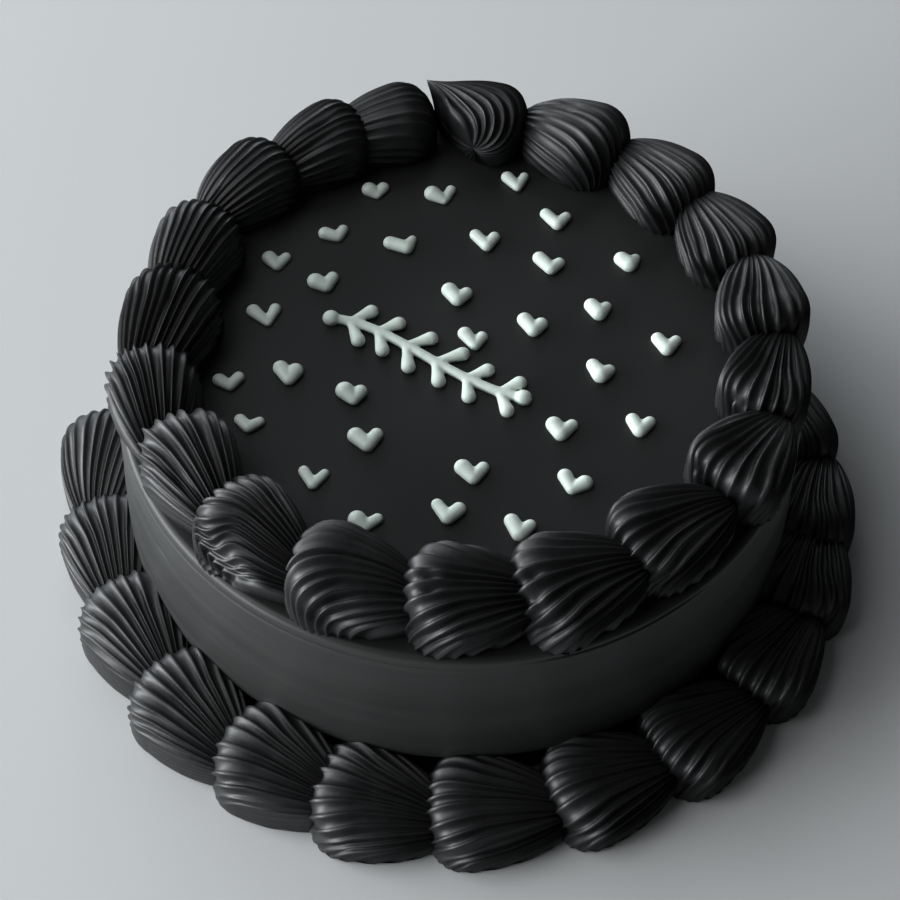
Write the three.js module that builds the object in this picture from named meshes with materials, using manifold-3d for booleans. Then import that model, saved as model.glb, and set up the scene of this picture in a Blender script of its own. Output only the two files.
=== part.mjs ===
// A round layer cake iced in charcoal buttercream: a smooth body with a ring of piped shells
// on its top edge and a larger ring of shells around its foot. Millimetres, +Z up, the foot of
// the cake at z = 0 and its centre on the Z axis.

import * as THREE from 'three';
import { mergeVertices } from 'three/addons/utils/BufferGeometryUtils.js';
import Module from 'manifold-3d';

const { Manifold, Mesh: SolidMesh } = await loadSolids();

// Iced body: its wall leans out slightly towards the foot, above a short set-back foot
const CAKE_RADIUS = 80;
const CAKE_HEIGHT = 51;
const WALL_FOOT_RADIUS = 82;
const WALL_FOOT_HEIGHT = 12;
const SETBACK_HEIGHT = 10.5;
const RIM_ROUND = 1.8;
const RIM_STEPS = 2;
const WALL_SEGMENTS = 60;

// Clearance between pieces that touch
const GAP = 0.3;

// Ring of shells on the top edge, counted anticlockwise from the last shell piped, at the back
const TOP_RING = {
  name: 'top_shell',
  count: 19,
  centre: [-1, 2],
  radius: 70.5,
  firstAngle: 81.4,
  base: CAKE_HEIGHT + GAP,
  lastPiped: 0,
  form: {
    length: 31, width: 22, height: 14, forward: 2.6, narrowing: 0.5, drop: 0.35,
    root: 0, rootAhead: -0.3, lift: -18, pull: 1, yaw: 0, boxiness: 3.2,
  },
  changes: {
    0: {
      turn: 2.5, out: 1, length: 24, width: 20, height: 13, forward: 0.8, narrowing: 0.6, drop: -0.1,
      root: 94, rootAhead: 0.05, lift: 34, pull: 5, yaw: -14, boxiness: 2.6,
    },
    1: {
      turn: 1.7, out: 2, length: 28.5, width: 20, height: 13.5, narrowing: 0.25, lift: -32, yaw: 6,
      boxiness: 2.4,
    },
    2: {
      turn: -3, out: 1.5, length: 29, width: 20.5, narrowing: 0.25, lift: -30, yaw: 8, boxiness: 2.4,
    },
    3: {
      turn: -4.5, out: 1, length: 28.5, width: 21, height: 13, narrowing: 0.25, lift: -30, yaw: 2,
      boxiness: 2.4,
    },
    4: {
      turn: -2.2, out: -1.8, width: 20.5, height: 14.5, narrowing: 0.35, lift: -24, yaw: 5,
      boxiness: 2.6,
    },
    5: { turn: -2.4, out: -3.5, length: 33, narrowing: 0.35, lift: -22, yaw: -9 },
    6: { turn: -2.8, length: 30.5, width: 21, height: 14.5, narrowing: 0.45, yaw: -2, root: -8 },
    7: { turn: -3.5, out: -2, length: 31.5, height: 14.5, yaw: -3, root: -16, lift: -5 },
    8: {
      turn: -3.7, out: -1.5, length: 31.5, width: 23, yaw: -4, root: -34, rootAhead: 0.1, lift: 0,
    },
    9: { turn: -2.8, out: -1, length: 33, width: 23, yaw: 3, root: -36, rootAhead: 0.3, lift: 0 },
    10: {
      turn: -1.6, out: -0.5, length: 31.5, width: 22.5, height: 14.5, narrowing: 0.4, lift: 16,
      yaw: 4, boxiness: 4,
    },
    11: {
      turn: -1.6, length: 31.5, width: 23.5, height: 14.5, narrowing: 0.4, lift: 18, yaw: 1,
      boxiness: 4,
    },
    12: {
      turn: -0.2, out: -1.5, length: 30.5, width: 22.5, height: 13, narrowing: 0.35, lift: 20,
      yaw: -9, boxiness: 4,
    },
    13: {
      turn: 2.1, out: 1, length: 28.5, width: 22.5, narrowing: 0.35, lift: 20, yaw: -8,
      boxiness: 3.8,
    },
    14: {
      turn: 2.3, out: 1, length: 29, width: 21, height: 13.5, narrowing: 0.35, lift: 18, yaw: -6,
      boxiness: 3.6,
    },
    15: {
      turn: 1.3, out: 1.5, length: 27.5, width: 21.5, height: 14.5, narrowing: 0.35, lift: 14,
      yaw: -2, boxiness: 3.4,
    },
    16: {
      turn: 0.9, out: 2, length: 28.5, width: 22.5, height: 12, narrowing: 0.35, lift: 8, yaw: 2,
      boxiness: 3,
    },
    17: {
      turn: 0.2, out: 1.5, length: 30, width: 21.5, height: 12.5, narrowing: 0.35, yaw: -1,
      root: 10, boxiness: 2.8,
    },
    18: {
      turn: 0.8, out: 1.5, length: 30, height: 13.5, narrowing: 0.3, lift: -24, yaw: -2,
      root: 26, boxiness: 2.6,
    },
  },
};

// Ring of shells around the foot, counted anticlockwise from the left
const FOOT_RING = {
  name: 'foot_shell',
  count: 23,
  centre: [0.6, -0.9],
  radius: 90.2,
  firstAngle: 179.4,
  base: 0,
  lastPiped: 17,
  form: {
    length: 34, width: 26.5, height: 14.5, forward: 3, narrowing: 0.42, drop: 0.35,
    root: 0, rootAhead: -0.3, lift: 12, pull: 1, yaw: -5, boxiness: 3.6,
  },
  changes: {
    0: { turn: -2.6, out: -3.3, length: 34.5, width: 28, lift: -8, yaw: -1 },
    1: { turn: -1.4, out: -2.8, width: 25.5, lift: -5, yaw: -1 },
    2: { turn: -1, out: -1.4, length: 34.5, width: 26.5, yaw: 0, root: -8 },
    3: { turn: -0.6, out: 0.5, length: 34.5, width: 26.5, yaw: -4 },
    4: { turn: -1, out: 0.3, height: 15, yaw: -3, root: -10 },
    5: { turn: -1.8, out: 0.7, width: 26, height: 14, yaw: -2 },
    6: { turn: -1.2, out: 0.7, width: 26, height: 14, yaw: -1 },
    7: { turn: 0.2, length: 33.5, width: 25.5, yaw: -1 },
    8: { turn: 1.4, length: 33.5, width: 25.5, yaw: -1 },
    9: { turn: 3, out: -1, length: 33.5, width: 25.5, yaw: -1 },
    10: { turn: 2.6, out: -3.5, length: 33.5, width: 28, height: 15, yaw: 0 },
    11: { turn: 0.6, out: -5, length: 33.5, width: 26, yaw: -12 },
    12: { turn: 1.2, out: -6, length: 33.5, width: 25, height: 14, yaw: -4 },
    13: { turn: 0.6, out: -6, width: 24, height: 15, yaw: -2 },
    14: { turn: 0.3, out: -5, width: 24.5, height: 14, yaw: -9 },
    15: { out: -4, length: 34.5, width: 25, yaw: -3 },
    16: { out: -4, width: 25.5, height: 14, yaw: -8 },
    17: { out: -4, length: 34.5, width: 26, lift: 6, pull: 4, yaw: -3 },
    18: { out: -4.5, width: 25.5, height: 15, yaw: -8 },
    19: { out: -5, width: 25, height: 14, yaw: -2 },
    20: { out: -6, length: 34.5, width: 24.5, yaw: -7 },
    21: { turn: -0.6, out: -7, width: 24, height: 15, yaw: -3 },
    22: { turn: -1.4, out: -8.5, width: 22.5, yaw: -4 },
  },
};

// Shape shared by all shells
const SUNK_SHARE = 0.3; // height of the ball below its base, as a share of what stands above
const HEAD_SHARE = 0.4; // part of a shell's length that lies before the middle of its ball
const FULLEST = 0.9; // share of width and height that the narrowing leaves at the fullest place
const PULL_REACH = 0.9; // radians from the tail over which it is drawn out
const PLAN_BOXINESS = 2.25;
const RIDGES_AROUND = 12;
const RIDGES_SHOWN = 8;
const RIDGE_DEPTH = 1.7;
const RIBS = 6;
const CROWN_CROWDING = 0.17; // radians by which the ribs crowd towards the crown
const SIMPLIFY = 0.3;

const CREAM_COLOUR = 0x1c1e1f;
const BODY_COLOUR = 0x26292a;
const CREAM_ROUGHNESS = 0.48;

async function loadSolids() {
  const wasm = await Module();
  wasm.setup();
  return wasm;
}

function cream(name, colour) {
  const material = new THREE.MeshStandardMaterial({ color: colour, metalness: 0 });
  material.roughness = CREAM_ROUGHNESS;
  material.name = name;
  return material;
}

function toSolid(geometry) {
  const welded = mergeVertices(geometry);
  const vertProperties = new Float32Array(welded.attributes.position.array);
  const triVerts = new Uint32Array(welded.index.array);
  return new Manifold(new SolidMesh({ numProp: 3, vertProperties, triVerts }));
}

function toGeometry(solid) {
  const mesh = solid.getMesh();
  const geometry = new THREE.BufferGeometry();
  geometry.setAttribute('position', new THREE.BufferAttribute(mesh.vertProperties, 3));
  geometry.setIndex(new THREE.BufferAttribute(mesh.triVerts, 1));
  return geometry;
}

function largestPiece(solid) {
  return solid.decompose().reduce((best, piece) => (piece.volume() > best.volume() ? piece : best));
}

// The iced body: a set-back foot, a wall and a softly rounded rim
function makeCake() {
  const outline = [
    new THREE.Vector2(0, 0),
    new THREE.Vector2(CAKE_RADIUS, 0),
    new THREE.Vector2(CAKE_RADIUS, SETBACK_HEIGHT),
    new THREE.Vector2(WALL_FOOT_RADIUS, WALL_FOOT_HEIGHT),
  ];
  for (let step = 0; step <= RIM_STEPS; step += 1) {
    const angle = (step / RIM_STEPS) * (Math.PI / 2);
    const out = CAKE_RADIUS - RIM_ROUND * (1 - Math.cos(angle));
    const up = CAKE_HEIGHT - RIM_ROUND * (1 - Math.sin(angle));
    outline.push(new THREE.Vector2(out, up));
  }
  outline.push(new THREE.Vector2(0, CAKE_HEIGHT));
  const geometry = new THREE.LatheGeometry(outline, WALL_SEGMENTS);
  const cake = new THREE.Mesh(geometry, cream('smooth_cream', BODY_COLOUR));
  cake.name = 'cake';
  cake.rotation.x = Math.PI / 2;
  return cake;
}

// The two ends of a shell's ridges, seen from the middle of its ball: the tail, where the
// bag was pulled away, and the root under the head, where the ridges curl in.
function shellPoles(form) {
  const lift = THREE.MathUtils.degToRad(form.lift);
  const roll = THREE.MathUtils.degToRad(form.root);
  const tail = new THREE.Vector3(Math.cos(lift), 0, Math.sin(lift));
  const root = new THREE.Vector3(form.rootAhead, Math.sin(roll), -Math.cos(roll)).normalize();
  return { tail, root };
}

// A point of a unit ball, `along` a ridge from the tail (0) to the root (PI) and `around` from
// the crown (0) to the underside (PI). The ridges are arcs of the circles through both poles.
function ballPoint({ tail, root }, along, around) {
  const middle = tail.clone().add(root).normalize();
  const axis = tail.clone().sub(root).normalize();
  const side = new THREE.Vector3().crossVectors(middle, axis);
  const near = Math.cos(tail.angleTo(root) / 2);
  const stretch = 1 / Math.sqrt(1 - near * near);
  const spread = Math.sqrt((1 - near) / (1 + near));
  const turn = 2 * Math.atan(spread * Math.tan(around / 2));
  const point = axis.clone().multiplyScalar(Math.cos(along));
  point.addScaledVector(middle, -Math.sin(along) * Math.cos(turn));
  point.addScaledVector(side, Math.sin(along) * Math.sin(turn));
  const facing = point.dot(middle);
  point.addScaledVector(middle, (stretch - 1) * facing + stretch * near);
  return point.divideScalar(stretch * (1 + near * facing));
}

// The same point on the real shell: boxier than a ball, narrow and low at its tail. Local X
// runs from the head to the tail, Y to the middle of the cake and Z up from the base.
function shellPoint(form, along, around, depth) {
  const poles = shellPoles(form);
  const box = ballPoint(poles, along, around);
  const flat = Math.abs(box.x) ** PLAN_BOXINESS + Math.abs(box.y) ** PLAN_BOXINESS;
  const size = flat ** (form.boxiness / PLAN_BOXINESS) + Math.abs(box.z) ** form.boxiness;
  box.divideScalar(size ** (1 / form.boxiness));
  const back = ((box.x + 1) / 2) ** 2;
  const reach = form.length * (box.x < 0 ? HEAD_SHARE : 1 - HEAD_SHARE);
  const raised = (box.z + SUNK_SHARE) / (1 + SUNK_SHARE);
  const point = new THREE.Vector3(
    box.x * reach + form.forward,
    (box.y * form.width * (1 - form.narrowing * back)) / (2 * FULLEST),
    (raised * form.height * (1 - form.drop * back)) / FULLEST,
  );
  const drawn = Math.max(0, 1 - along / PULL_REACH) ** 2;
  point.addScaledVector(poles.tail, form.pull * drawn);
  const outward = new THREE.Vector3(box.x / form.length, box.y / form.width, box.z / form.height);
  return point.addScaledVector(outward.normalize(), -depth * Math.sin(along));
}

// A ball with a column at each crest, one at each groove, and one underneath
function shellGeometry(form) {
  const columns = 2 * RIDGES_SHOWN + 2;
  const geometry = new THREE.SphereGeometry(1, columns, RIBS);
  const { position, uv } = geometry.attributes;
  for (let vertex = 0; vertex < position.count; vertex += 1) {
    const column = Math.round(uv.getX(vertex) * columns) % columns;
    const under = column === 0;
    const around = under ? Math.PI : ((column - 1 - RIDGES_SHOWN) * Math.PI) / RIDGES_AROUND;
    const share = 1 - uv.getY(vertex);
    const along = Math.PI * share + CROWN_CROWDING * Math.sin(2 * Math.PI * share);
    const point = shellPoint(form, along, around, column % 2 === 1 ? RIDGE_DEPTH : 0);
    position.setXYZ(vertex, point.x, point.y, point.z);
  }
  geometry.deleteAttribute('normal');
  geometry.deleteAttribute('uv');
  return geometry;
}

function shellForm(ring, index) {
  return { turn: 0, out: 0, ...ring.form, ...ring.changes[index] };
}

// Where a shell stands on its ring: its local X runs anticlockwise
function shellPlace(ring, index) {
  const form = shellForm(ring, index);
  const degrees = ring.firstAngle + form.turn + (index * 360) / ring.count;
  const angle = THREE.MathUtils.degToRad(degrees);
  const yaw = THREE.MathUtils.degToRad(form.yaw);
  const place = new THREE.Object3D();
  const radius = ring.radius + form.out;
  const [x, y] = ring.centre;
  place.position.set(x + radius * Math.cos(angle), y + radius * Math.sin(angle), ring.base);
  place.rotation.z = angle + Math.PI / 2 + yaw;
  place.updateMatrix();
  return place;
}

// Room for a neighbour that was piped over this shell: its outer hull, slightly larger
function neighbourRoom(ring, index, neighbour) {
  const form = shellForm(ring, neighbour);
  const geometry = shellGeometry({
    ...form,
    length: form.length + 2 * GAP,
    width: form.width + 2 * GAP,
    height: form.height + GAP,
  });
  geometry.applyMatrix4(shellPlace(ring, neighbour).matrix);
  geometry.applyMatrix4(shellPlace(ring, index).matrix.clone().invert());
  return toSolid(geometry).hull();
}

function bodyRoom(ring, index) {
  const height = CAKE_HEIGHT - ring.base + GAP;
  const radius = WALL_FOOT_RADIUS + GAP;
  const room = new THREE.CylinderGeometry(radius, radius, 2 * height, WALL_SEGMENTS);
  room.deleteAttribute('normal');
  room.deleteAttribute('uv');
  room.rotateX(Math.PI / 2);
  room.applyMatrix4(shellPlace(ring, index).matrix.clone().invert());
  return toSolid(room);
}

// One shell: its tail lies under the next one, and the last one piped lies over both
function makeShell(ring, index) {
  const next = (index + 1) % ring.count;
  const previous = (index + ring.count - 1) % ring.count;
  let solid = toSolid(shellGeometry(shellForm(ring, index))).trimByPlane([0, 0, 1], 0);
  if (index !== ring.lastPiped) {
    solid = solid.subtract(neighbourRoom(ring, index, next));
  }
  if (previous === ring.lastPiped) {
    solid = solid.subtract(neighbourRoom(ring, index, previous));
  }
  if (ring.base < CAKE_HEIGHT) {
    solid = solid.subtract(bodyRoom(ring, index));
  }
  const piece = largestPiece(solid).simplify(SIMPLIFY);
  const mesh = new THREE.Mesh(toGeometry(piece), cream('piped_cream', CREAM_COLOUR));
  mesh.name = `${ring.name}_${String(index).padStart(2, '0')}`;
  const place = shellPlace(ring, index);
  mesh.position.copy(place.position);
  mesh.rotation.copy(place.rotation);
  return mesh;
}

const layerCake = new THREE.Group();
layerCake.add(makeCake());
for (const ring of [TOP_RING, FOOT_RING]) {
  for (let index = 0; index < ring.count; index += 1) {
    layerCake.add(makeShell(ring, index));
  }
}

export default layerCake;
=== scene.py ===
"""A charcoal-iced layer cake: smooth body, two rings of piped shells, small piped hearts.

The body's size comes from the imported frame. The shells repeat the forms that the solids were
made from, with fine ridges. Lengths are in millimetres up to mesh_object, which turns them into
metres, and in metres for the camera, the floor and the lights.
"""

import math

import bmesh
import bpy
import numpy as np
from mathutils import Matrix, Vector


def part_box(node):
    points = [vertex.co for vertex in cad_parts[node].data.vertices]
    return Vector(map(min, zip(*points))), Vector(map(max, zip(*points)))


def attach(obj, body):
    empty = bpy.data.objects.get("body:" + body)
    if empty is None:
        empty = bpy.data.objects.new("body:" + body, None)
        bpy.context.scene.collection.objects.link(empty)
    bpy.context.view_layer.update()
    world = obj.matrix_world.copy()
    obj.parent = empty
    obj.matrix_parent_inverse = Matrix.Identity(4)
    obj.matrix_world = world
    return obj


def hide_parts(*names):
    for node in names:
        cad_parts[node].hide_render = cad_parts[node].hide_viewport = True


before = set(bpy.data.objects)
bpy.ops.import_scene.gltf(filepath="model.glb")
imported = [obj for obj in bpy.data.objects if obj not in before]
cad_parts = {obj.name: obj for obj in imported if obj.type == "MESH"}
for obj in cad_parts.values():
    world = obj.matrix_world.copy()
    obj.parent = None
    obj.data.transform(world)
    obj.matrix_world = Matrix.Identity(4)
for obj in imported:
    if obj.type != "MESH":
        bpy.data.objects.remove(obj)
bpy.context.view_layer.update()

MM = 0.001
_, cake_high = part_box("cake")
WALL_FOOT_RADIUS = cake_high.x / MM
CAKE_HEIGHT = cake_high.z / MM
CAKE_RADIUS = WALL_FOOT_RADIUS - 2
SETBACK_HEIGHT = 10.5
WALL_FOOT_HEIGHT = 12
RIM_ROUND = 1.8

# ---------------------------------------------------------------- piped shells: where and how large

# A ring's form holds what its shells share, and its changes what each one has of its own:
#   turn, out: degrees along the ring and millimetres outward from the even spacing
#   length, width, height, forward: size over the cream's foot, and how far ahead it sits
#   narrowing, drop: shares of the width and the height that are lost towards the tail
#   root, root_ahead, lift: where the ridges start under the head, and how steeply the tail rises
#   pull, yaw: how far the tail is drawn out, and degrees off the ring's direction
#   ridges, depth: ridges around the whole girth, and how deep their valleys are
#   foot_depth, tail_fade: share of the depth left at the foot, and reach of the plain tail
#   sway, lean, ruffle: wander of the ridges, their slant, and crumpling of the outer flank
#   boxiness, shown, bare: fullness, share of the girth with ridges, and degrees where they end
#   dents: (along in radians, around in degrees, depth, spread in radians) of each hollow
GAP = 0.3
TOP_RING = {
    "name": "top_shell",
    "count": 19,
    "centre": (-1, 2),
    "radius": 70.5,
    "first_angle": 81.4,
    "base": CAKE_HEIGHT + GAP,
    "floor": -0.9,
    "form": {
        "length": 31, "width": 22, "height": 14, "forward": 2.6, "narrowing": 0.5, "drop": 0.35,
        "root": 0, "root_ahead": -0.3, "lift": -18, "pull": 1, "yaw": 0, "ridges": 26, "depth": 1.5,
        "foot_depth": 0.6, "tail_fade": 0.5, "sway": 0.08, "lean": 1.2, "boxiness": 3.2,
        "shown": 0.74, "bare": 200, "dents": (), "ruffle": 0,
    },
    "changes": {
        0: {
            "turn": 2.5, "out": 1, "length": 24, "width": 20, "height": 13, "forward": 0.8,
            "shown": 0.95, "narrowing": 0.6, "drop": -0.1, "root": 94, "root_ahead": 0.05,
            "lift": 34, "pull": 5, "yaw": -14, "ridges": 24, "tail_fade": 0.3, "boxiness": 2.6,
        },
        1: {
            "turn": 1.7, "out": 2, "length": 28.5, "width": 20, "height": 13.5, "narrowing": 0.25,
            "lift": -32, "yaw": 6, "depth": 0.6, "tail_fade": 1.5, "boxiness": 2.4,
        },
        2: {
            "turn": -3, "out": 1.5, "length": 29, "width": 20.5, "height": 14, "narrowing": 0.25,
            "lift": -30, "yaw": 8, "ridges": 28, "depth": 0.75, "boxiness": 2.4,
            "dents": ((1.44, -2, 1.1, 0.1), (1.3, -34, 0.9, 0.12)),
        },
        3: {
            "turn": -4.5, "out": 1, "length": 28.5, "width": 21, "height": 13, "narrowing": 0.25,
            "lift": -30, "yaw": 2, "ridges": 28, "depth": 0.7, "tail_fade": 0.8, "boxiness": 2.4,
            "dents": ((1.17, 10, 1.4, 0.08),),
        },
        4: {
            "turn": -2.2, "out": -1.8, "width": 20.5, "height": 14.5, "narrowing": 0.35,
            "lift": -24, "yaw": 5, "ridges": 30, "depth": 1, "boxiness": 2.6,
            "dents": ((1.36, -38, 1.0, 0.12),),
        },
        5: {
            "turn": -2.4, "out": -3.5, "length": 33, "narrowing": 0.35, "lift": -22, "yaw": -9,
            "ridges": 28, "sway": 0.17, "dents": ((1.44, -7, 0.9, 0.08),),
        },
        6: {
            "turn": -2.8, "length": 30.5, "width": 21, "height": 14.5, "narrowing": 0.45, "yaw": -2,
            "root": -8, "ridges": 28, "dents": ((1.24, -50, 0.9, 0.1),),
        },
        7: {
            "turn": -3.5, "out": -2, "length": 31.5, "height": 14.5, "yaw": -3, "root": -16,
            "ridges": 28, "lift": -5, "bare": 88,
            "dents": ((1.17, 58, 1.3, 0.1), (1.65, 42, -1.1, 0.2)),
        },
        8: {
            "turn": -3.7, "out": -1.5, "length": 31.5, "width": 23, "yaw": -4, "root": -34,
            "root_ahead": 0.1, "lift": 0, "ridges": 32, "depth": 1.5, "sway": 0.13, "ruffle": 0.14,
            "dents": ((1.81, 98, 1.2, 0.12), (2.3, 120, 1.0, 0.1)),
        },
        9: {
            "turn": -2.8, "out": -1, "length": 33, "width": 23, "yaw": 3, "root": -36,
            "root_ahead": 0.3, "ridges": 30, "depth": 1.5, "lean": 1.8, "lift": 0,
            "dents": ((1.49, 85, 0.8, 0.1),),
        },
        10: {
            "turn": -1.6, "out": -0.5, "length": 31.5, "width": 22.5, "height": 14.5,
            "narrowing": 0.4, "yaw": 4, "ridges": 26, "depth": 1.7, "lean": 1.6, "lift": 16,
            "boxiness": 4,
            "dents": ((1.41, -10, 1.2, 0.07), (1.41, 10, 1.0, 0.07), (1.87, 55, -0.8, 0.2)),
        },
        11: {
            "turn": -1.6, "length": 31.5, "width": 23.5, "height": 14.5, "narrowing": 0.4, "yaw": 1,
            "ridges": 26, "depth": 1.7, "lean": 1.6, "lift": 18, "boxiness": 4,
            "dents": ((1.47, -7, 1.2, 0.07), (1.54, 15, 1.2, 0.07), (1.62, 105, 0.9, 0.1)),
        },
        12: {
            "turn": -0.2, "out": -1.5, "length": 30.5, "width": 22.5, "height": 13,
            "narrowing": 0.35, "yaw": -9, "depth": 1.8, "lean": 1.4, "lift": 20, "boxiness": 4,
            "dents": ((2.0, -50, 1.4, 0.12), (2.0, -20, 1.1, 0.1), (2.15, 48, -0.9, 0.2)),
        },
        13: {
            "turn": 2.1, "out": 1, "length": 28.5, "width": 22.5, "narrowing": 0.35, "yaw": -8,
            "ridges": 24, "depth": 1.8, "lift": 20, "boxiness": 3.8, "tail_fade": 1.1,
            "dents": ((1.68, -28, 1.5, 0.09), (1.73, 58, -0.9, 0.25)),
        },
        14: {
            "turn": 2.3, "out": 1, "length": 29, "width": 21, "height": 13.5, "narrowing": 0.35,
            "yaw": -6, "depth": 1.9, "lift": 18, "boxiness": 3.6, "tail_fade": 1,
            "dents": ((1.65, -30, 1.3, 0.07), (1.68, -14, 1.2, 0.07)),
        },
        15: {
            "turn": 1.3, "out": 1.5, "length": 27.5, "width": 21.5, "height": 14.5,
            "narrowing": 0.35, "yaw": -2, "depth": 1.9, "lift": 14, "boxiness": 3.4,
            "tail_fade": 1.1, "sway": 0.15, "dents": ((1.9, 2, 1.0, 0.07),),
        },
        16: {
            "turn": 0.9, "out": 2, "length": 28.5, "width": 22.5, "height": 12, "narrowing": 0.35,
            "yaw": 2, "depth": 1.8, "lift": 8, "boxiness": 3, "tail_fade": 1.3,
            "dents": ((1.62, 7, 1.1, 0.06), (1.87, -32, 0.9, 0.08)),
        },
        17: {
            "turn": 0.2, "out": 1.5, "length": 30, "width": 21.5, "height": 12.5, "narrowing": 0.35,
            "yaw": -1, "root": 10, "depth": 1.7, "boxiness": 2.8, "tail_fade": 1.5,
            "dents": ((1.27, -10, 1.3, 0.06),),
        },
        18: {
            "turn": 0.8, "out": 1.5, "length": 30, "width": 22, "height": 13.5, "narrowing": 0.3,
            "lift": -24, "yaw": -2, "root": 26, "depth": 1.2, "tail_fade": 1.7, "boxiness": 2.6,
            "dents": ((1.27, -18, 1.1, 0.06), (1.27, 0, 1.1, 0.06)),
        },
    },
}
FOOT_RING = {
    "name": "foot_shell",
    "count": 23,
    "centre": (0.6, -0.9),
    "radius": 90.2,
    "first_angle": 179.4,
    "base": 0.0,
    "floor": 0.0,
    "form": {
        "length": 34, "width": 26.5, "height": 14.5, "forward": 3, "narrowing": 0.42, "drop": 0.35,
        "root": 0, "root_ahead": -0.3, "lift": 12, "pull": 1, "yaw": -5, "ridges": 30, "depth": 1.4,
        "foot_depth": 0.35, "tail_fade": 0.4, "sway": 0.07, "lean": 1.2, "boxiness": 3.6,
        "shown": 0.74, "bare": 200, "dents": (), "ruffle": 0,
    },
    "changes": {
        0: {
            "turn": -2.6, "out": -3.3, "length": 34.5, "width": 28, "yaw": -1, "ridges": 40,
            "depth": 0.8, "lift": -8, "bare": 75,
        },
        1: {
            "turn": -1.4, "out": -2.8, "width": 25.5, "yaw": -1, "ridges": 38, "depth": 0.9,
            "lift": -5, "bare": 70,
        },
        2: {
            "turn": -1, "out": -1.4, "length": 34.5, "width": 26.5, "yaw": 0, "root": -8,
            "ridges": 34, "depth": 1.1, "bare": 64,
        },
        3: {
            "turn": -0.6, "out": 0.5, "length": 34.5, "width": 26.5, "yaw": -4, "ridges": 32,
            "depth": 1.2, "bare": 64,
        },
        4: {"turn": -1, "out": 0.3, "height": 15, "yaw": -3, "root": -10, "ridges": 28, "bare": 80},
        5: {"turn": -1.8, "out": 0.7, "width": 26, "height": 14, "yaw": -2},
        6: {"turn": -1.2, "out": 0.7, "width": 26, "height": 14, "yaw": -1},
        7: {"turn": 0.2, "length": 33.5, "width": 25.5, "yaw": -1},
        8: {"turn": 1.4, "length": 33.5, "width": 25.5, "yaw": -1},
        9: {"turn": 3, "out": -1, "length": 33.5, "width": 25.5, "yaw": -1},
        10: {"turn": 2.6, "out": -3.5, "length": 33.5, "width": 28, "height": 15, "yaw": 0},
        11: {"turn": 0.6, "out": -5, "length": 33.5, "width": 26, "yaw": -12},
        12: {"turn": 1.2, "out": -6, "length": 33.5, "width": 25, "height": 14, "yaw": -4},
        13: {"turn": 0.6, "out": -6, "width": 24, "height": 15, "yaw": -2},
        14: {"turn": 0.3, "out": -5, "width": 24.5, "height": 14, "yaw": -9},
        15: {"out": -4, "length": 34.5, "width": 25, "yaw": -3},
        16: {"out": -4, "width": 25.5, "height": 14, "yaw": -8},
        17: {"out": -4, "length": 34.5, "width": 26, "lift": 6, "pull": 4, "yaw": -3},
        18: {"out": -4.5, "width": 25.5, "height": 15, "yaw": -8},
        19: {"out": -5, "width": 25, "height": 14, "yaw": -2},
        20: {"out": -6, "length": 34.5, "width": 24.5, "yaw": -7},
        21: {"turn": -0.6, "out": -7, "width": 24, "height": 15, "yaw": -3},
        22: {"turn": -1.4, "out": -8.5, "width": 22.5, "yaw": -4},
    },
}

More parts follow.
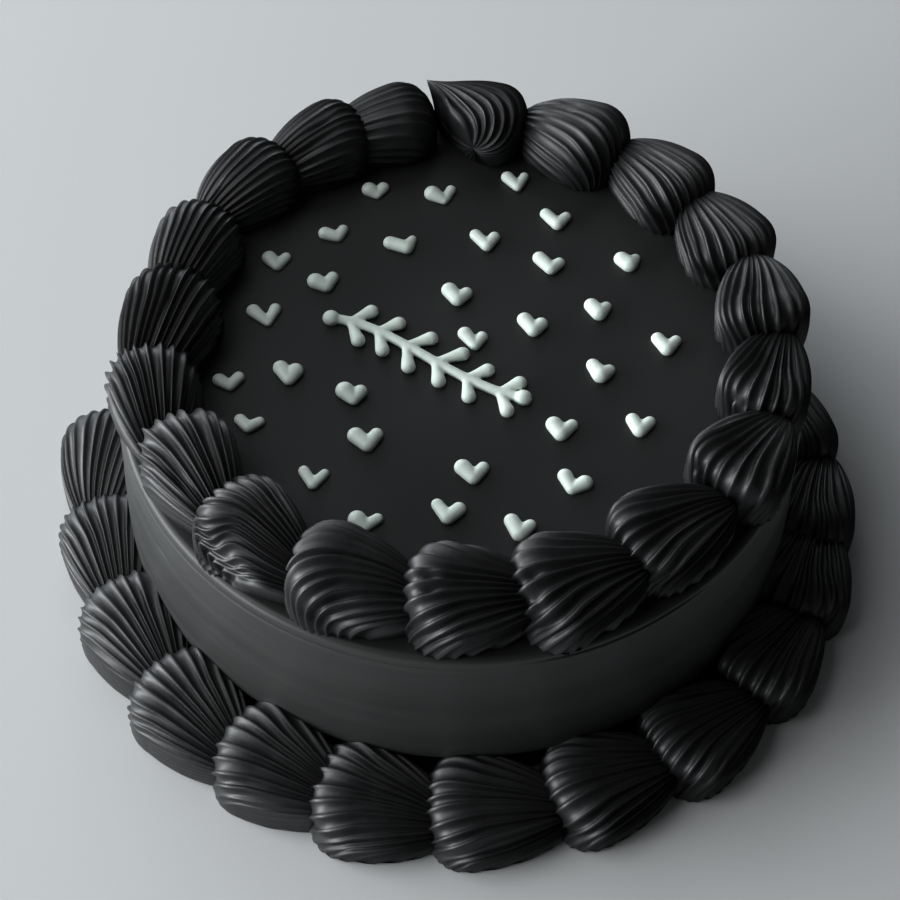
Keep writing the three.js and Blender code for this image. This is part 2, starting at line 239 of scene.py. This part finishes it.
# Hearts: where the tip lies, the left and right lobes seen from the tip, and the three radii
HEARTS = [
    (-21.6, 52.4, -2.0, 1.6, 1.4, 2.4, 1.8, 1.4, 1.1),
    (-4.9, 51.1, -3.0, 2.0, 1.6, 3.5, 1.9, 1.2, 1.1),
    (13.3, 56.2, -2.5, 3.0, 1.7, 3.5, 1.5, 1.1, 1.2),
    (23.1, 43.9, -2.8, 3.3, 2.2, 2.6, 1.4, 1.2, 1.5),
    (-30.7, 38.2, -3.1, 1.0, 1.2, 2.5, 1.6, 1.2, 1.3),
    (-44.9, 28.6, -2.0, 2.3, 2.0, 2.7, 1.7, 1.2, 1.3),
    (-13.8, 35.2, -4.0, 1.4, 1.4, 2.8, 1.6, 1.0, 1.6),
    (5.8, 36.4, -2.8, 3.4, 1.8, 2.9, 1.4, 1.3, 1.4),
    (21.3, 29.5, -2.7, 3.2, 2.1, 1.9, 1.6, 1.3, 1.5),
    (40.3, 31.3, -1.7, 1.6, 1.7, 2.1, 1.8, 1.1, 1.9),
    (-32.7, 22.4, -2.6, 1.4, 1.4, 2.8, 1.9, 1.4, 1.5),
    (-1.2, 19.1, -1.9, 2.8, 2.2, 2.1, 1.8, 1.4, 1.6),
    (32.6, 15.8, -1.7, 2.3, 1.8, 2.2, 1.7, 1.2, 1.8),
    (-45.9, 10.9, -3.6, 3.3, 1.5, 4.2, 1.6, 1.3, 1.0),
    (3.2, 5.3, -2.4, 3.4, 1.6, 2.6, 1.6, 1.3, 1.2),
    (17.0, 10.2, -2.1, 3.1, 1.8, 2.0, 1.7, 1.5, 1.6),
    (48.3, 5.4, -2.0, 3.0, 2.3, 2.7, 1.5, 1.2, 1.6),
    (-53.3, -8.2, -2.6, 1.6, 1.8, 2.6, 1.5, 1.3, 1.2),
    (-39.8, -6.0, -2.1, 3.3, 1.4, 2.6, 1.7, 1.7, 1.4),
    (-24.6, -11.4, -2.1, 2.4, 1.5, 2.4, 2.0, 1.5, 1.3),
    (32.5, -2.8, -1.7, 2.9, 2.1, 1.6, 1.5, 1.3, 1.9),
    (-48.2, -19.9, -2.0, 2.1, 2.5, 1.7, 1.3, 1.1, 1.3),
    (-20.9, -24.2, -2.7, 2.5, 2.0, 3.1, 1.8, 1.4, 1.6),
    (23.0, -19.9, -1.5, 2.5, 2.6, 2.6, 1.8, 1.3, 1.7),
    (41.0, -18.5, -1.5, 3.0, 2.4, 2.5, 1.5, 1.3, 1.6),
    (-32.6, -35.3, -2.2, 3.6, 2.5, 3.1, 1.2, 1.0, 1.2),
    (3.2, -32.6, -2.4, 2.7, 2.2, 2.9, 1.8, 1.3, 1.5),
    (25.3, -35.1, -1.5, 3.5, 2.9, 1.7, 1.6, 1.7, 1.3),
    (-20.5, -46.2, -1.8, 1.7, 2.7, 2.1, 1.9, 1.2, 1.3),
    (-2.4, -43.5, -2.3, 3.5, 2.5, 2.4, 1.3, 1.5, 1.5),
    (13.5, -47.4, -1.7, 3.4, 2.4, 2.4, 1.6, 1.3, 1.7),
]
ROPE_THICKNESS = 0.8
PLUMP = 1.13

# Sprig: a curved stem with pairs of leaves and a pearl at each end
SPRIG_STEM = ((-31, 12.5), (-17, 12), (-3, -6), (14.5, -10))
SPRIG_PAIRS = 6
SPRIG_LEAF = 6.2
SPRIG_ROPE = 1.3
SPRIG_PEARL = 2.1
SPRIG_LEAF_RADII = (1.0, 1.3, 1.8)

# Small piping: spacing of the beads along a rope, how far they stand up, mesh sizes
BEAD_STEP = 0.35
BEAD_LIFT = 0.25
HEART_VOXEL = 0.28
SPRIG_VOXEL = 0.34

# Shape shared by all shells, as in the solids
SUNK_SHARE = 0.3
HEAD_SHARE = 0.4
FULLEST = 0.9
PULL_REACH = 0.9
PLAN_BOXINESS = 2.25
CROWN_CROWDING = 0.17
FADE_SHARE = 0.35
VALLEY = 3  # 1 gives straight-sided valleys, larger values rounder ones

# Unevenness shared by all shells
CREST_JITTER = 0.16
DEPTH_RANGE = (0.75, 1.2)
DEPTH_WAVES = 0.2
LUMP = 0.35
RUFFLE_WAVES = 13
RUFFLE_PLACE = (1.9, 1.5)  # along and around, in radians
RUFFLE_SPREAD = (0.6, 0.7)
BARE_DEPTH = 0.12
BARE_SOFTNESS = 0.12

# Fineness of the meshes
COLUMNS_PER_RIDGE = 7
UNDER_COLUMNS = 6
ROWS = 54
BODY_COLUMNS = 400


# ---------------------------------------------------------------- materials

PIPED_COLOUR = (0.0165, 0.017, 0.018)
# The smooth cream is the same icing as the piped, painted lighter as a sheen on the wall
SMOOTH_PAINTED_SHEEN_COLOUR = (0.04, 0.041, 0.0405)
TINT_SPREAD = 0.07
PALE_COLOURS = ((0.64, 0.72, 0.665), (0.72, 0.8, 0.745))
FLOOR_COLOURS = ((0.55, 0.56, 0.56), (0.59, 0.6, 0.6))
NOISE_RANGE = (0.3, 0.7)
# How far up a face must look for the painted shade on the top to begin and to be full
PAINTED_SHADE_FACING = (0.5, 0.97)


def material_base(name):
    material = bpy.data.materials.new(name)
    material.use_nodes = True
    tree = material.node_tree
    return material, tree, tree.nodes["Principled BSDF"]


def noise_output(tree, coords, scale, detail, streak=1):
    """Noise over the object's own coordinates; a low streak draws it out around the cake."""
    drawn = tree.nodes.new("ShaderNodeMapping")
    drawn.inputs["Scale"].default_value = (streak, streak, 1)
    noise = tree.nodes.new("ShaderNodeTexNoise")
    noise.inputs["Scale"].default_value = scale
    noise.inputs["Detail"].default_value = detail
    tree.links.new(coords.outputs["Object"], drawn.inputs["Vector"])
    tree.links.new(drawn.outputs["Vector"], noise.inputs["Vector"])
    return noise.outputs["Fac"]


def map_range(tree, value, source, target):
    node = tree.nodes.new("ShaderNodeMapRange")
    node.inputs["From Min"].default_value, node.inputs["From Max"].default_value = source
    node.inputs["To Min"].default_value, node.inputs["To Max"].default_value = target
    tree.links.new(value, node.inputs["Value"])
    return node.outputs["Result"]


def colour_ramp(tree, value, source, colours):
    node = tree.nodes.new("ShaderNodeValToRGB")
    for element, position, colour in zip(node.color_ramp.elements, source, colours):
        element.position = position
        element.color = (*colour, 1)
    tree.links.new(value, node.inputs["Fac"])
    return node.outputs["Color"]


def add_bump(tree, shader, height, strength, distance):
    node = tree.nodes.new("ShaderNodeBump")
    node.inputs["Strength"].default_value = strength
    node.inputs["Distance"].default_value = distance
    tree.links.new(height, node.inputs["Height"])
    tree.links.new(node.outputs["Normal"], shader.inputs["Normal"])


def dark_cream(name, colour, roughness, gloss, grain, streak, top_painted_shade=1.0):
    """Dark icing; on faces that look straight up its colour is scaled by the given share, a painted
    shade on the top.
    """
    material, tree, shader = material_base(name)
    shader.inputs["Specular IOR Level"].default_value = gloss
    coords = tree.nodes.new("ShaderNodeTexCoord")
    noise = noise_output(tree, coords, 260, 4, streak)
    rough = map_range(tree, noise, NOISE_RANGE, (roughness - 0.05, roughness + 0.06))
    tree.links.new(rough, shader.inputs["Roughness"])
    dark, light = ([factor * part for part in colour] for factor in (1 - TINT_SPREAD, 1 + TINT_SPREAD))
    tint = colour_ramp(tree, noise, NOISE_RANGE, (dark, light))
    # Painted shade: the colour darkens on faces that look straight up, so the top reads darker than
    # the wall
    facing = tree.nodes.new("ShaderNodeSeparateXYZ")
    tree.links.new(coords.outputs["Normal"], facing.inputs["Vector"])
    shaded = tree.nodes.new("ShaderNodeVectorMath")
    shaded.operation = "SCALE"
    shade = map_range(tree, facing.outputs["Z"], PAINTED_SHADE_FACING, (1, top_painted_shade))
    tree.links.new(tint, shaded.inputs["Vector"])
    tree.links.new(shade, shaded.inputs["Scale"])
    tree.links.new(shaded.outputs["Vector"], shader.inputs["Base Color"])
    add_bump(tree, shader, noise, grain, 0.4 * MM)
    return material


def pale_cream():
    material, tree, shader = material_base("pale_cream")
    coords = tree.nodes.new("ShaderNodeTexCoord")
    noise = noise_output(tree, coords, 420, 3)
    tint = colour_ramp(tree, noise, NOISE_RANGE, PALE_COLOURS)
    tree.links.new(tint, shader.inputs["Base Color"])
    shader.inputs["Roughness"].default_value = 0.42
    shader.inputs["Subsurface Weight"].default_value = 0.2
    shader.inputs["Subsurface Radius"].default_value = (1.0 * MM, 1.2 * MM, 0.9 * MM)
    add_bump(tree, shader, noise, 0.12, 0.3 * MM)
    return material


def floor_material():
    material, tree, shader = material_base("floor")
    shader.inputs["Roughness"].default_value = 0.7
    coords = tree.nodes.new("ShaderNodeTexCoord")
    noise = noise_output(tree, coords, 1.5, 2)
    tint = colour_ramp(tree, noise, (0, 1), FLOOR_COLOURS)
    tree.links.new(tint, shader.inputs["Base Color"])
    return material


# ---------------------------------------------------------------- meshes


def mesh_object(name, points, faces, material):
    mesh = bpy.data.meshes.new(name)
    mesh.from_pydata((np.asarray(points) * MM).tolist(), [], faces)
    mesh.polygons.foreach_set("use_smooth", [True] * len(mesh.polygons))
    mesh.materials.append(material)
    mesh.update()
    piece = bpy.data.objects.new(name, mesh)
    bpy.context.scene.collection.objects.link(piece)
    return piece


def grid_object(name, points, material):
    """A closed piece from rows x columns of points; the first and last rows are single points."""
    rows, columns = points.shape[:2]
    index = np.arange((rows - 2) * columns).reshape(rows - 2, columns)
    after = np.roll(index, -1, axis=1)
    quads = np.stack([index[:-1], index[1:], after[1:], after[:-1]], axis=-1).reshape(-1, 4)
    first = index.size
    last = first + 1
    faces = quads.tolist()
    faces += [(first, int(a), int(b)) for a, b in zip(index[0], after[0])]
    faces += [(last, int(b), int(a)) for a, b in zip(index[-1], after[-1])]
    flat = np.vstack([points[1:-1].reshape(-1, 3), points[0, :1], points[-1, :1]])
    return mesh_object(name, flat, faces, material)


def wander(seed, *fields):
    """A smooth random field between about -1 and 1: a few waves over the given coordinates."""
    random = np.random.default_rng(seed)
    total = 0
    for _ in range(5):
        phase = random.uniform(0, 2 * math.pi)
        slopes = random.normal(0, 1, len(fields))
        total = total + np.sin(phase + sum(slope * field for slope, field in zip(slopes, fields)))
    return total / 2.5


def bump(value, middle, width):
    """1 at the middle, falling off smoothly over the width on both sides."""
    return np.exp(-(((value - middle) / width) ** 2))


# ---------------------------------------------------------------- shells


def shell_poles(form):
    """Unit directions of the drawn-out tail and of the root, where the piping starts."""
    lift = math.radians(form["lift"])
    roll = math.radians(form["root"])
    tail = np.array([math.cos(lift), 0, math.sin(lift)])
    root = np.array([form["root_ahead"], math.sin(roll), -math.cos(roll)])
    return tail, root / np.linalg.norm(root)


def ball_points(form, along, around):
    """Points of a unit ball on arcs through its tail and root poles."""
    tail, root = shell_poles(form)
    middle = (tail + root) / np.linalg.norm(tail + root)
    axis = (tail - root) / np.linalg.norm(tail - root)
    side = np.cross(middle, axis)
    near = math.cos(math.acos(float(tail @ root)) / 2)
    stretch = 1 / math.sqrt(1 - near * near)
    spread = math.sqrt((1 - near) / (1 + near))
    turn = 2 * np.arctan2(spread * np.sin(around / 2), np.cos(around / 2))
    point = np.cos(along)[..., None] * axis
    point = point - (np.sin(along) * np.cos(turn))[..., None] * middle
    point = point + (np.sin(along) * np.sin(turn))[..., None] * side
    facing = point @ middle
    point = point + ((stretch - 1) * facing + stretch * near)[..., None] * middle
    return point / (stretch * (1 + near * facing))[..., None]


def shell_points(form, along, around, depth):
    """Points of a shell's skin, sunk by the depth; along runs from tail to root, around the girth."""
    tail, _ = shell_poles(form)
    ball = ball_points(form, along, around)
    boxiness = form["boxiness"]
    flat = (np.abs(ball[..., :2]) ** PLAN_BOXINESS).sum(-1) ** (boxiness / PLAN_BOXINESS)
    size = (flat + np.abs(ball[..., 2]) ** boxiness) ** (1 / boxiness)
    box = ball / size[..., None]
    back = ((box[..., 0] + 1) / 2) ** 2
    reach = form["length"] * np.where(box[..., 0] < 0, HEAD_SHARE, 1 - HEAD_SHARE)
    raised = (box[..., 2] + SUNK_SHARE) / (1 + SUNK_SHARE)
    x = box[..., 0] * reach + form["forward"]
    y = box[..., 1] * form["width"] * (1 - form["narrowing"] * back) / (2 * FULLEST)
    z = raised * form["height"] * (1 - form["drop"] * back) / FULLEST
    point = np.stack([x, y, z], axis=-1)
    drawn = np.maximum(0, 1 - along / PULL_REACH) ** 2
    point = point + (form["pull"] * drawn)[..., None] * tail
    outward = box / np.array([form["length"], form["width"], form["height"]])
    outward = outward / np.linalg.norm(outward, axis=-1, keepdims=True)
    return point - (depth * np.sin(along))[..., None] * outward


def shell_grid(form, seed):
    """The ridged surface of one shell, in its own frame."""
    random = np.random.default_rng(seed)
    ridges = form["ridges"]
    shown = 2 * round(ridges * form["shown"] / 2)
    pitch = 2 * math.pi / ridges
    crests = (np.arange(shown + 1) - shown / 2) * pitch
    crests = crests + random.uniform(-CREST_JITTER, CREST_JITTER, shown + 1) * pitch
    steps = np.arange(shown * COLUMNS_PER_RIDGE + 1) / COLUMNS_PER_RIDGE
    around = np.interp(steps, np.arange(shown + 1), crests)
    phase = (steps % 1) ** form["lean"]
    groove = 1 - np.abs(2 * phase - 1) ** VALLEY
    depths = form["depth"] * random.uniform(*DEPTH_RANGE, shown + 1)
    groove = groove * depths[np.minimum(steps.astype(int), shown)]
    under = np.linspace(around[-1], around[0] + 2 * math.pi, UNDER_COLUMNS + 2)[1:-1]
    around = np.concatenate([around, under])
    groove = np.concatenate([groove, np.zeros(UNDER_COLUMNS)])
    share = np.linspace(0, 1, ROWS + 1)
    along = math.pi * share + CROWN_CROWDING * np.sin(2 * math.pi * share)
    along_grid, around_grid = np.meshgrid(along, around, indexing="ij")
    sway = form["sway"] * wander(seed + 1, along_grid * 2.2, around_grid * 1.2)
    outer = bump(around_grid, RUFFLE_PLACE[1], RUFFLE_SPREAD[1])
    outer = outer * bump(along_grid, RUFFLE_PLACE[0], RUFFLE_SPREAD[0])
    sway = sway + form["ruffle"] * outer * np.sin(along_grid * RUFFLE_WAVES)
    deep = groove * (1 + DEPTH_WAVES * wander(seed + 2, along_grid * 3, around_grid * 5))
    lump = LUMP * wander(seed + 3, along_grid * 1.6, around_grid * 1.6)
    for dent_along, dent_around, dent, spread in form["dents"]:
        away = (along_grid - dent_along) ** 2 + (around_grid - math.radians(dent_around)) ** 2
        lump = lump + dent * np.exp(-away / spread**2)
    plain = shell_points(form, along_grid, around_grid + sway, 0 * deep)
    raised = np.clip(plain[..., 2] / (FADE_SHARE * form["height"]), 0, 1)
    fade = form["foot_depth"] + (1 - form["foot_depth"]) * raised * raised * (3 - 2 * raised)
    fade = fade * np.clip(along_grid / form["tail_fade"], 0, 1) ** 1.5
    past_bare = np.exp((around_grid - math.radians(form["bare"])) / BARE_SOFTNESS)
    fade = fade * (BARE_DEPTH + (1 - BARE_DEPTH) / (1 + past_bare))
    return shell_points(form, along_grid, around_grid + sway, deep * fade + lump)


def shell_form(ring, index):
    """What the ring's shells share, with this one's own changes."""
    return {"turn": 0, "out": 0, **ring["form"], **ring["changes"].get(index, {})}


def shell_matrix(ring, index):
    """Turn and place of one shell on its ring; its head points along the piping, anticlockwise."""
    form = shell_form(ring, index)
    angle = math.radians(ring["first_angle"] + form["turn"] + index * 360 / ring["count"])
    turn = angle + math.pi / 2 + math.radians(form["yaw"])
    cos, sin = math.cos(turn), math.sin(turn)
    spin = np.array([[cos, -sin, 0], [sin, cos, 0], [0, 0, 1]])
    radius = ring["radius"] + form["out"]
    x, y = ring["centre"]
    place = np.array([x + radius * math.cos(angle), y + radius * math.sin(angle), ring["base"]])
    return spin, place


def make_shell(ring, index, material):
    form = shell_form(ring, index)
    points = shell_grid(form, seed=1000 + 40 * ring["count"] + index * 7)
    points[..., 2] = np.maximum(points[..., 2], ring["floor"])
    spin, place = shell_matrix(ring, index)
    points = points @ spin.T + place
    node = f"{ring['name']}_{index:02d}"
    piece = grid_object(f"piped_{node}", points, material)
    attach(piece, "root")
    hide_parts(node)


# ---------------------------------------------------------------- body

FOOT_ROUND = 0.9
FINE_BAND = 5  # the wall's mesh is finer in this band under the rim
SHELF_DEPTH = 3.3  # of the scraper's step, below the top


def arc_share(angle, first, last, soft):
    """1 between two angles in degrees and 0 outside, with soft ends."""
    middle = (first + last) / 2
    away = np.abs((np.degrees(angle) - middle + 180) % 360 - 180) - (last - first) / 2
    return 1 / (1 + np.exp(away / soft))


def body_outline():
    """Radius and height from the middle of the underside over the wall to the top's middle."""
    rim = CAKE_HEIGHT - RIM_ROUND
    # The underside, the setback behind the foot ring, the wall, the rounded rim and the top
    outline = [(0.0, 0.0)]
    outline += [(CAKE_RADIUS * share, 0.0) for share in (0.25, 0.5, 0.75)]
    outline += [(CAKE_RADIUS, z) for z in np.linspace(0, SETBACK_HEIGHT - 0.4, 12)]
    for angle in np.linspace(0, math.pi / 2, 6):
        radius = WALL_FOOT_RADIUS - FOOT_ROUND * (1 - math.sin(angle))
        outline.append((radius, WALL_FOOT_HEIGHT - FOOT_ROUND * math.cos(angle)))
    slope = (WALL_FOOT_RADIUS - CAKE_RADIUS) / (rim - WALL_FOOT_HEIGHT)
    lower = np.linspace(WALL_FOOT_HEIGHT, rim - FINE_BAND, 50)[1:]
    upper = np.linspace(rim - FINE_BAND, rim, 26)[1:]
    for z in np.concatenate([lower, upper]):
        outline.append((WALL_FOOT_RADIUS - slope * (z - WALL_FOOT_HEIGHT), z))
    for angle in np.linspace(0, math.pi / 2, 9)[1:]:
        radius = CAKE_RADIUS - RIM_ROUND * (1 - math.cos(angle))
        outline.append((radius, rim + RIM_ROUND * math.sin(angle)))
    outline += [(r, CAKE_HEIGHT) for r in np.linspace(CAKE_RADIUS - RIM_ROUND, 0, 44)[1:]]
    return np.array(outline)


def make_body(material):
    outline = body_outline()
    around = np.linspace(0, 2 * math.pi, BODY_COLUMNS, endpoint=False)
    radius = np.repeat(outline[:, :1], BODY_COLUMNS, axis=1)
    height = np.repeat(outline[:, 1:], BODY_COLUMNS, axis=1)
    angle = np.broadcast_to(around, radius.shape)
    on_wall = (outline[:, 0] > CAKE_RADIUS - RIM_ROUND)[:, None] & (height > SETBACK_HEIGHT)
    # Scraper bands all over, its step and a slit under the rim, and one nick lower down
    bands = 0.07 * wander(5, height * 0.3, np.cos(angle) * 1.2, np.sin(angle) * 1.2)
    below = CAKE_HEIGHT - height
    step = 1 / (1 + np.exp((SHELF_DEPTH - below) / 0.4)) - bump(below, SHELF_DEPTH, 0.4)
    shelf = 0.2 * arc_share(angle, 195, 268, 5) * step
    slit = -0.8 * arc_share(angle, 284, 312, 3) * bump(below, 2.0 + 0.3 * np.sin(angle * 9), 0.35)
    nick = -0.7 * bump(np.degrees(angle), 214, 1.2) * bump(below, 12.5, 0.5)
    radius = radius + on_wall * (bands + shelf + slit + nick)
    flat = 1 / (1 + np.exp((radius - CAKE_RADIUS + 4) * 2))
    dish = 0.25 * wander(9, radius * np.cos(angle) * 0.05, radius * np.sin(angle) * 0.05) - 0.15
    on_top = (outline[:, 1] > CAKE_HEIGHT - RIM_ROUND + 1)[:, None]
    height = height + on_top * flat * dish
    points = np.stack([radius * np.cos(around), radius * np.sin(around), height], axis=-1)
    points[0] = (0, 0, 0)
    points[-1, :, :2] = 0
    piece = grid_object("cake_body", points, material)
    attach(piece, "root")
    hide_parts("cake")


# ---------------------------------------------------------------- small piping on the top


def beads(centres, radii):
    """Overlapping balls along a stroke, as one soup of triangles to be joined by a remesh."""
    ball = bmesh.new()
    bmesh.ops.create_icosphere(ball, subdivisions=3, radius=1)
    corners = np.array([vertex.co[:] for vertex in ball.verts])
    faces = np.array([[vertex.index for vertex in face.verts] for face in ball.faces])
    ball.free()
    squash = np.array([1, 1, ROPE_THICKNESS])
    points = [centre + corners * radius * squash for centre, radius in zip(centres, radii)]
    parts = [faces + index * len(corners) for index in range(len(points))]
    return np.vstack(points), np.vstack(parts)


def stroke(path, radii):
    """Bead centres and radii along a path of points in the plane of the top."""
    path = np.asarray(path, float)
    steps = np.linalg.norm(np.diff(path, axis=0), axis=1)
    reach = np.concatenate([[0], np.cumsum(steps)])
    count = max(4, int(reach[-1] / BEAD_STEP))
    at = np.linspace(0, reach[-1], count)
    radius = np.interp(at, np.linspace(0, reach[-1], len(radii)), radii)
    x = np.interp(at, reach, path[:, 0])
    y = np.interp(at, reach, path[:, 1])
    return np.stack([x, y, CAKE_HEIGHT + BEAD_LIFT * radius], axis=-1), radius


def join_beads(name, strokes, material, voxel):
    """One closed piece from the balls of all strokes, melted together and softened."""
    centres = np.vstack([centre for centre, _ in strokes])
    radii = np.concatenate([radius for _, radius in strokes])
    points, faces = beads(centres, radii)
    rough = mesh_object(name + "_rough", points, faces.tolist(), material)
    remesh = rough.modifiers.new("join", "REMESH")
    remesh.mode = "VOXEL"
    remesh.voxel_size = voxel * MM
    soften = rough.modifiers.new("soften", "SMOOTH")
    soften.factor = 0.5
    soften.iterations = 4
    ready = rough.evaluated_get(bpy.context.evaluated_depsgraph_get())
    mesh = bpy.data.meshes.new_from_object(ready)
    mesh.name = name
    mesh.polygons.foreach_set("use_smooth", [True] * len(mesh.polygons))
    bpy.data.objects.remove(rough)
    piece = bpy.data.objects.new(name, mesh)
    bpy.context.scene.collection.objects.link(piece)
    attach(piece, "root")


def make_hearts(material):
    for index, (x, y, left_x, left_y, right_x, right_y, left, right, tip) in enumerate(HEARTS):
        tip_place = (x, y)
        strokes = [
            stroke([(x + left_x, y + left_y), tip_place], (left * PLUMP, tip * PLUMP)),
            stroke([(x + right_x, y + right_y), tip_place], (right * PLUMP, tip * PLUMP)),
        ]
        join_beads(f"piped_heart_{index:02d}", strokes, material, HEART_VOXEL)


def curve_point(ends, share):
    """Point of a cubic curve through its first and last control points."""
    a, b, c, d = (np.array(end, float) for end in ends)
    rest = 1 - share
    return a * rest**3 + 3 * b * rest**2 * share + 3 * c * rest * share**2 + d * share**3


def make_sprig(material):
    shares = np.linspace(0, 1, 60)
    stem = [curve_point(SPRIG_STEM, share) for share in shares]
    random = np.random.default_rng(77)
    strokes = [stroke(stem, [SPRIG_ROPE])]
    for end in (stem[0], stem[-1]):
        strokes.append(stroke([end, end + 0.01], (SPRIG_PEARL, SPRIG_PEARL)))
    for pair in range(SPRIG_PAIRS):
        share = (pair + 0.7) / (SPRIG_PAIRS + 0.4)
        base = curve_point(SPRIG_STEM, share)
        ahead = curve_point(SPRIG_STEM, share + 0.01) - base
        heading = math.atan2(ahead[1], ahead[0])
        for side in (-1, 1):
            lean = heading + side * math.radians(random.uniform(46, 56))
            length = SPRIG_LEAF * random.uniform(0.85, 1.1)
            tip = base + length * np.array([math.cos(lean), math.sin(lean)])
            strokes.append(stroke([base, tip], SPRIG_LEAF_RADII))
    join_beads("piped_sprig", strokes, material, SPRIG_VOXEL)


# ---------------------------------------------------------------- camera, floor and light

LENS = 80
SENSOR = 36
VIEW_GAMMA = 0.85
ELEVATION = math.radians(54.46)
ROLL = math.radians(1.23)
DISTANCE = 0.5154
TARGET = Vector((-0.00215, 0.01162, 0))
FLOOR_HALF = 3.0
FLOOR_DROP = 0.0003
ROOM_COLOUR = (0.95, 0.98, 1.0)
ROOM_STRENGTH = 0.07
LIGHTS_AIM = Vector((0, 0, 0.03))
# Name, place, size, power and colour of each soft light
LIGHTS = (
    ("window", (-2.6, -0.2, 0.5), (3.6, 0.9), 186, (0.95, 0.98, 1.0)),
    ("back", (-1.3, 2.4, 0.6), (2.6, 0.9), 42, (0.9, 0.95, 1.0)),
    ("ceiling", (-0.9, 2.3, 1.9), (3.2, 2.2), 15, (0.92, 0.96, 1.0)),
    ("room", (-1.6, 0.1, 2.0), (1.8, 1.8), 36, (0.97, 0.98, 1.0)),
)


def make_camera():
    """Camera at the photograph's angle, fitted to the rim, the wall and the shells' places."""
    back = Vector((0, -math.cos(ELEVATION), math.sin(ELEVATION)))
    right = Vector((1, 0, 0))
    up = back.cross(right)
    right, up = (
        right * math.cos(ROLL) + up * math.sin(ROLL),
        up * math.cos(ROLL) - right * math.sin(ROLL),
    )
    data = bpy.data.cameras.new("camera")
    data.lens = LENS
    data.sensor_width = SENSOR
    data.clip_start = 0.01
    camera = bpy.data.objects.new("camera", data)
    turned = Matrix((right, up, back)).transposed().to_4x4()
    camera.matrix_world = Matrix.Translation(TARGET + back * DISTANCE) @ turned
    bpy.context.scene.collection.objects.link(camera)
    bpy.context.scene.camera = camera


def make_floor():
    corners = [(x * FLOOR_HALF, y * FLOOR_HALF, 0) for x, y in ((-1, -1), (1, -1), (1, 1), (-1, 1))]
    mesh = bpy.data.meshes.new("floor")
    mesh.from_pydata(corners, [], [(0, 1, 2, 3)])
    mesh.materials.append(floor_material())
    floor = bpy.data.objects.new("floor", mesh)
    floor.location.z = -FLOOR_DROP
    bpy.context.scene.collection.objects.link(floor)


def area_light(name, place, size, power, colour):
    """A rectangular light that faces the cake."""
    data = bpy.data.lights.new(name, "AREA")
    data.shape = "RECTANGLE"
    data.size, data.size_y = size
    data.energy = power
    data.color = colour
    light = bpy.data.objects.new(name, data)
    light.location = place
    aim = LIGHTS_AIM - Vector(place)
    light.rotation_euler = aim.to_track_quat("-Z", "Y").to_euler()
    bpy.context.scene.collection.objects.link(light)


def make_lights():
    world = bpy.data.worlds.new("room")
    bpy.context.scene.world = world
    world.use_nodes = True
    background = world.node_tree.nodes["Background"]
    background.inputs["Color"].default_value = (*ROOM_COLOUR, 1)
    background.inputs["Strength"].default_value = ROOM_STRENGTH
    for light in LIGHTS:
        area_light(*light)
    view = bpy.context.scene.view_settings
    view.view_transform = "Standard"
    view.gamma = VIEW_GAMMA


make_camera()
make_floor()
make_lights()
piped = dark_cream("piped_cream", PIPED_COLOUR, roughness=0.47, gloss=0.55, grain=0.2, streak=1)
# Painted sheen and shade: the wall's cream is painted lighter than the piped, and its top is painted
# darker
smooth = dark_cream(
    "smooth_cream", SMOOTH_PAINTED_SHEEN_COLOUR, roughness=0.45, gloss=0.45, grain=0.1, streak=0.08, top_painted_shade=0.4
)
mint = pale_cream()
make_body(smooth)
make_hearts(mint)
make_sprig(mint)
for ring in (TOP_RING, FOOT_RING):
    for index in range(ring["count"]):
        make_shell(ring, index, piped)
